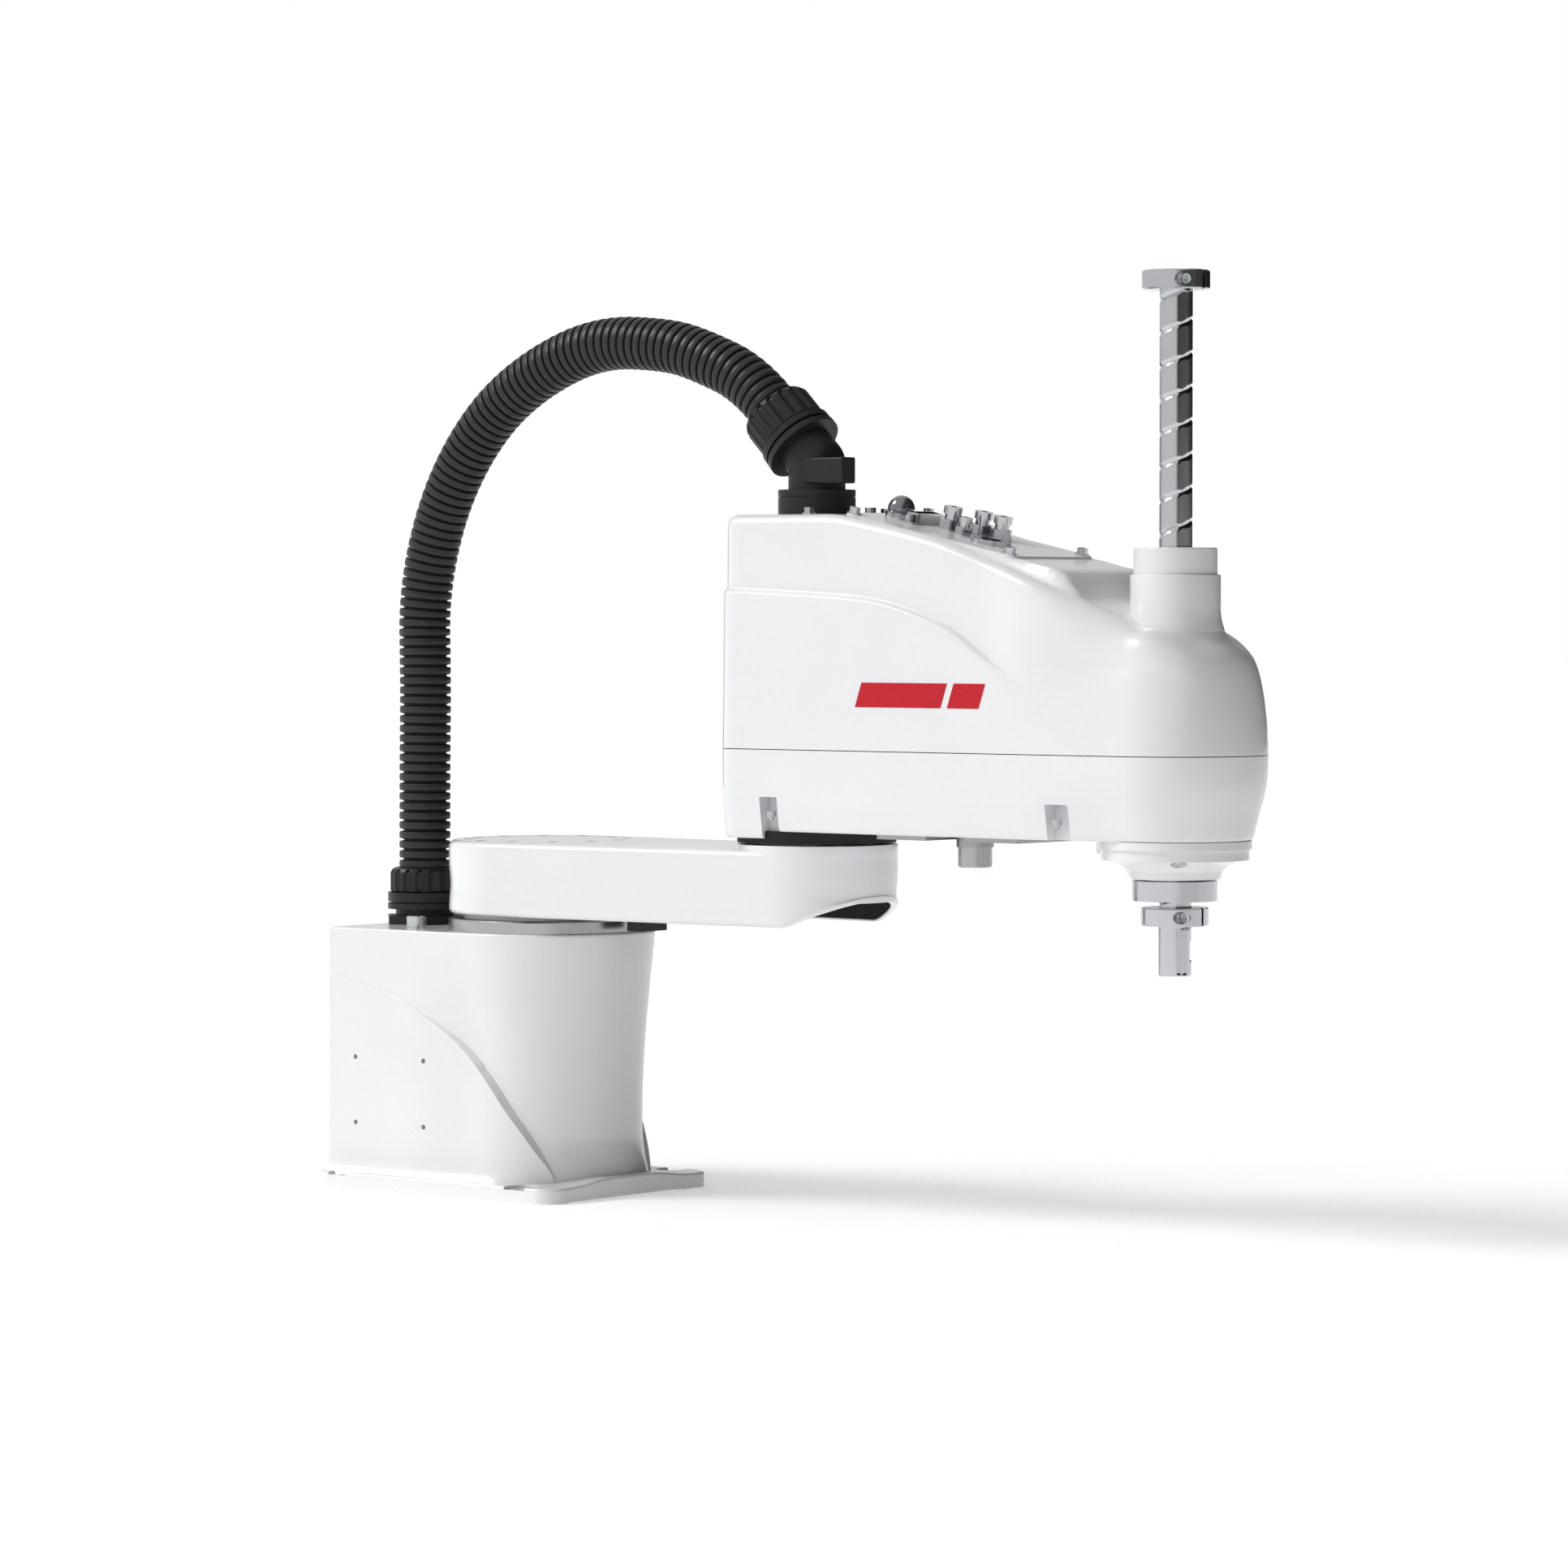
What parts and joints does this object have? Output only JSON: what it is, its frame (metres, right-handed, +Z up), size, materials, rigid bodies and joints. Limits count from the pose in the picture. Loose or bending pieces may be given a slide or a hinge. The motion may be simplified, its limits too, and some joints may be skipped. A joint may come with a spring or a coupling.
{
  "type": "scara robot arm",
  "caption": "Table-mounted SCARA robot arm: boxy base with round front, two horizontal links, cable conduit arch and a vertical ball screw spline spindle.",
  "frame": {"origin": "first joint's axis on the mounting plane", "axes": "+X from the base to the nose at rest, +Z up along all joint axes, +Y to the left"},
  "size_m": [0.7046, 0.162, 0.5805],
  "materials": {
    "white_paint": "gloss",
    "white_plastic": "gloss",
    "black_plastic": "satin",
    "bright_steel": "polished",
    "bare_aluminium": "satin",
    "dark_metal": "satin",
    "chrome": "polished",
    "lamp_glass": "clear",
    "belt_rubber": "matte"
  },
  "bodies": {
    "base": {"base_casting": "white_paint", "base_rear_panel": "bare_aluminium", "rear_panel_screws": "bright_steel", "base_round_connectors": "black_plastic", "base_user_connector": "chrome", "base_air_fittings": "chrome", "base_gland_nut": "black_plastic", "base_gland_body": "black_plastic", "base_gland_grip": "black_plastic", "conduit_lower": "black_plastic", "j1_motor": "dark_metal", "j1_circular_spline": "bright_steel", "j1_bearing_ring": "bare_aluminium", "j1_stop_pins": "bright_steel"},
    "j1_input": {"j1_wave_generator": "bright_steel"},
    "first_link": {"j1_flexing_cup": "bright_steel", "j1_output_flange": "bare_aluminium", "j1_stop_block": "dark_metal", "link_casting": "white_paint", "link_bolts": "bright_steel", "j2_reducer_rings": "bright_steel"},
    "j2_input": {"j2_wave_generator": "bright_steel"},
    "second_link": {"j2_flexing_cup": "bright_steel", "j2_output_disc": "dark_metal", "j2_motor": "dark_metal", "arm_casting": "white_paint", "arm_upper_cover": "white_plastic", "arm_rear_cover": "white_plastic", "arm_bottom_plates": "bare_aluminium", "arm_stop_pin": "bright_steel", "connector_panel": "bare_aluminium", "arm_screws": "chrome", "arm_air_fittings": "chrome", "arm_round_socket": "chrome", "arm_user_connector": "chrome", "status_lamp": "chrome", "status_lamp_lens": "lamp_glass", "arm_gland_ring": "black_plastic", "arm_gland_elbow": "black_plastic", "arm_gland_collar": "black_plastic", "arm_gland_grip": "black_plastic", "conduit_upper": "black_plastic", "j3_motor": "dark_metal", "j4_motor": "dark_metal", "motor_mounts": "bare_aluminium", "drive_belts": "belt_rubber", "nut_housing": "bare_aluminium", "nut_bearings": "bright_steel", "nose_flange": "white_paint", "nose_cap": "white_plastic"},
    "spline_sleeve": {"spline_nut": "bright_steel", "spline_pulley": "bare_aluminium"},
    "lift_nut": {"ball_nut": "bright_steel", "screw_pulley": "bare_aluminium"},
    "spindle": {"spindle_shaft": "bright_steel", "upper_collar": "bright_steel", "lower_collar": "bright_steel", "collar_screws": "bright_steel"},
    "j3_motor_rotor": {"j3_motor_pulley": "bare_aluminium"},
    "j4_motor_rotor": {"j4_motor_pulley": "bare_aluminium"}
  },
  "joints": [
    {"name": "j1_shoulder", "type": "hinge", "parent": "base", "child": "first_link", "pos_m": [0, 0, 0], "axis": [0, 0, 1], "range_deg": [-127, 127], "deforming": ["conduit_lower"]},
    {"name": "j2_elbow", "type": "hinge", "parent": "first_link", "child": "second_link", "pos_m": [0.225, 0, 0], "axis": [0, 0, 1], "range_deg": [-140, 140], "deforming": ["conduit_upper"]},
    {"name": "j4_spindle_turn", "type": "hinge", "parent": "second_link", "child": "spline_sleeve", "pos_m": [0.5, 0, 0], "axis": [0, 0, 1], "range_deg": [-360, 360]},
    {"name": "j3_spindle_lift", "type": "slide", "parent": "spline_sleeve", "child": "spindle", "axis": [0, 0, 1], "range_m": [-0.15, 0]},
    {"name": "lift_nut_turn", "type": "hinge", "parent": "spline_sleeve", "child": "lift_nut", "pos_m": [0.5, 0, 0], "axis": [0, 0, 1], "range_deg": [-2701, 1]},
    {"name": "j3_motor_turn", "type": "hinge", "parent": "second_link", "child": "j3_motor_rotor", "pos_m": [0.33, -0.025, 0], "axis": [0, 0, 1], "range_deg": [-5401, 1]},
    {"name": "j4_motor_turn", "type": "hinge", "parent": "second_link", "child": "j4_motor_rotor", "pos_m": [0.33, 0.025, 0], "axis": [0, 0, 1], "range_deg": [-721, 721]},
    {"name": "j1_input_turn", "type": "hinge", "parent": "base", "child": "j1_input", "pos_m": [0, 0, 0], "axis": [0, 0, 1], "range_deg": [-10161, 10161]},
    {"name": "j2_input_turn", "type": "hinge", "parent": "second_link", "child": "j2_input", "pos_m": [0.225, 0, 0], "axis": [0, 0, 1], "range_deg": [-7141, 7141]}
  ],
  "couplings": [
    {"joint": "lift_nut_turn", "follows": "j3_spindle_lift", "rad_per_m": 314.16},
    {"joint": "j3_motor_turn", "follows": "j3_spindle_lift", "rad_per_m": 628.32},
    {"joint": "j4_motor_turn", "follows": "j4_spindle_turn", "ratio": 2},
    {"joint": "j1_input_turn", "follows": "j1_shoulder", "ratio": -80},
    {"joint": "j2_input_turn", "follows": "j2_elbow", "ratio": -51}
  ]
}
